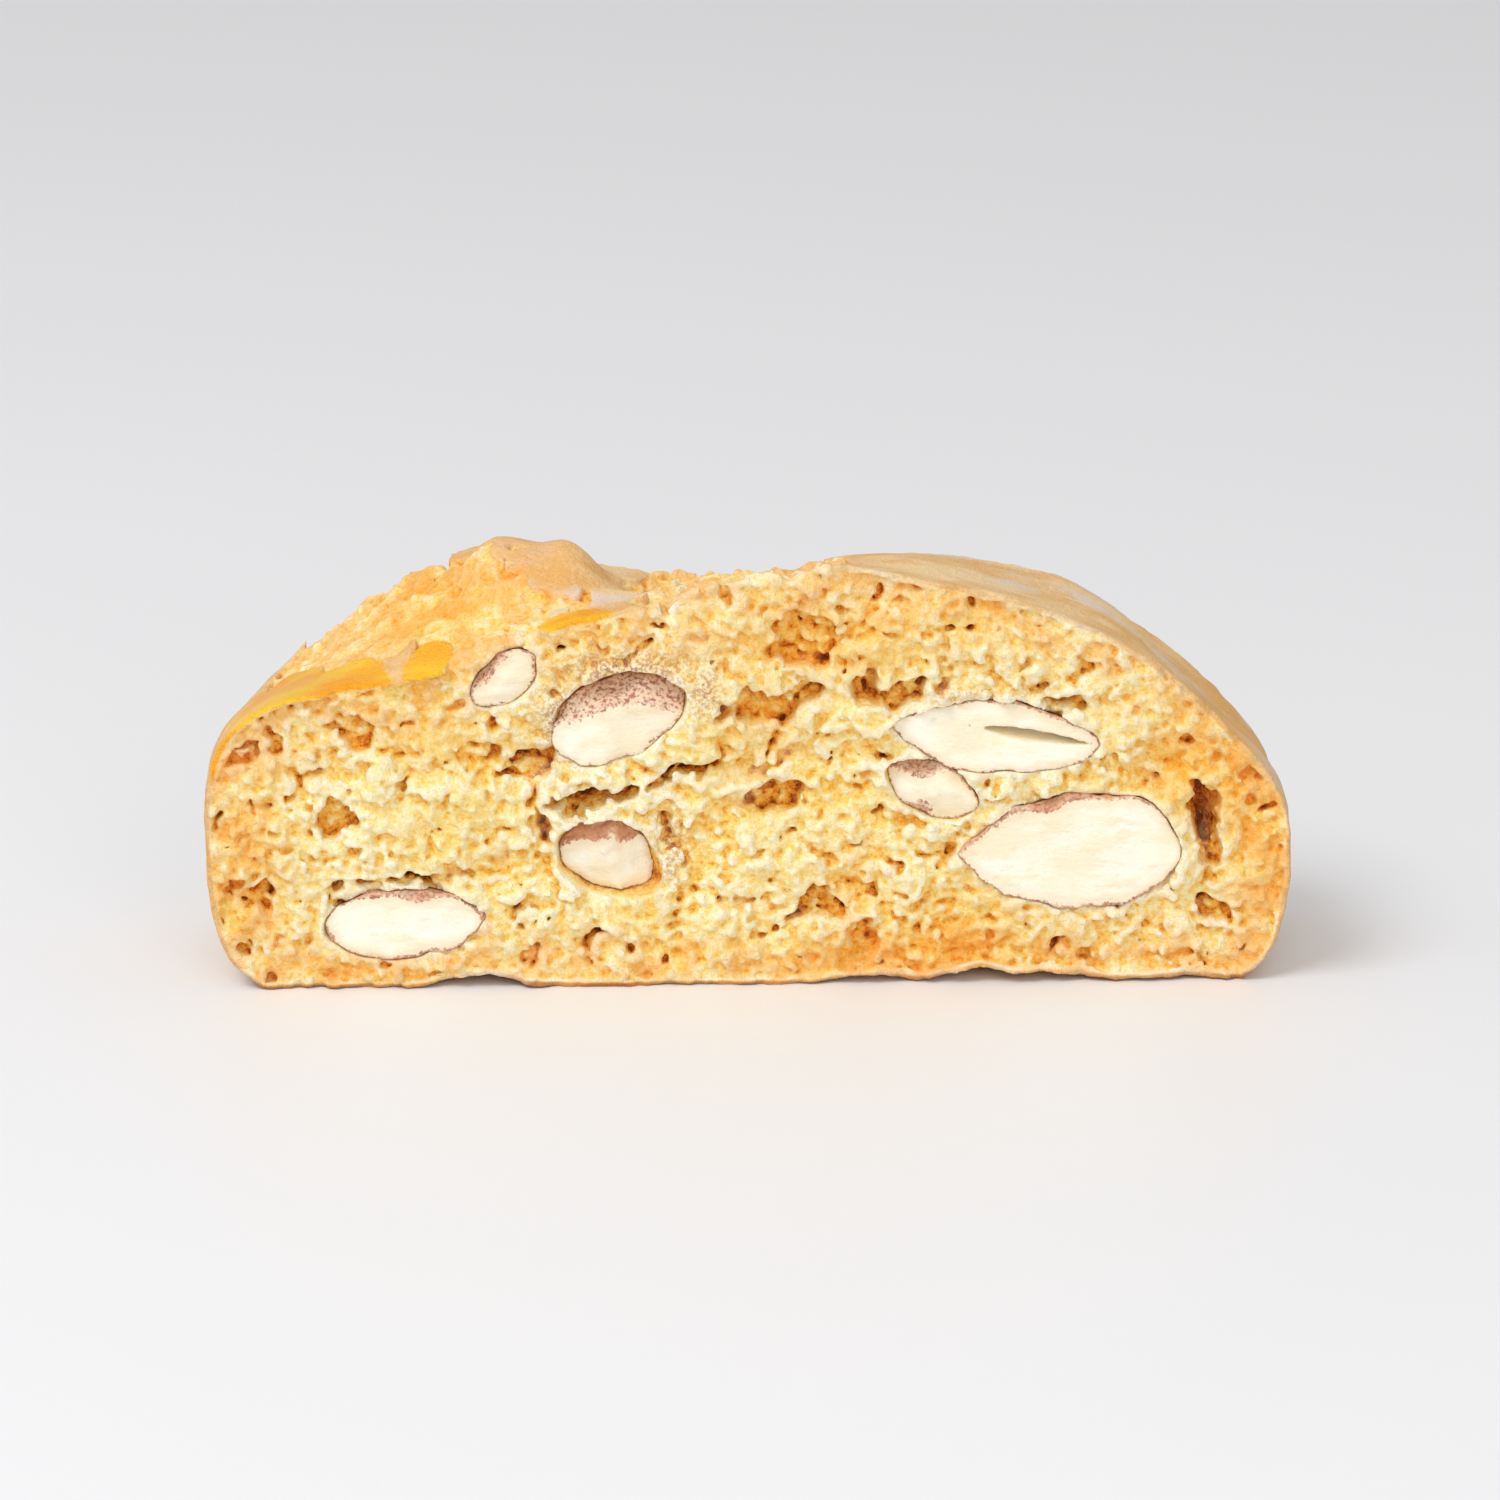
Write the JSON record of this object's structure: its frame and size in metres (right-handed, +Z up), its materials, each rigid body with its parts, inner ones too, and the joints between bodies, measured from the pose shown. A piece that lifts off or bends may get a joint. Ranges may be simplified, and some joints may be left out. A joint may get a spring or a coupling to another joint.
{
  "type": "almond biscotto (cantuccio) slice",
  "caption": "One slice of twice-baked almond biscuit standing on its flat base, with cut almonds showing in both cut faces and a golden crust round it.",
  "frame": {"origin": "the point on the table under the centre of the slice's bounding box", "axes": "+X along the slice, +Y from the front cut to the back cut, +Z up from the flat baked base"},
  "size_m": [0.0946, 0.0196, 0.0379],
  "materials": {
    "crumb": "matte",
    "almond": "matte"
  },
  "bodies": {
    "root": {"almond_back_1": "almond", "almond_back_2": "almond", "almond_back_3": "almond", "almond_back_4": "almond", "almond_back_5": "almond", "almond_high_middle": "almond", "almond_low_middle": "almond", "almond_lower_left": "almond", "almond_right_low": "almond", "almond_right_middle": "almond", "almond_right_top": "almond", "almond_upper_left": "almond", "baked_dough": "crumb"}
  },
  "joints": []
}
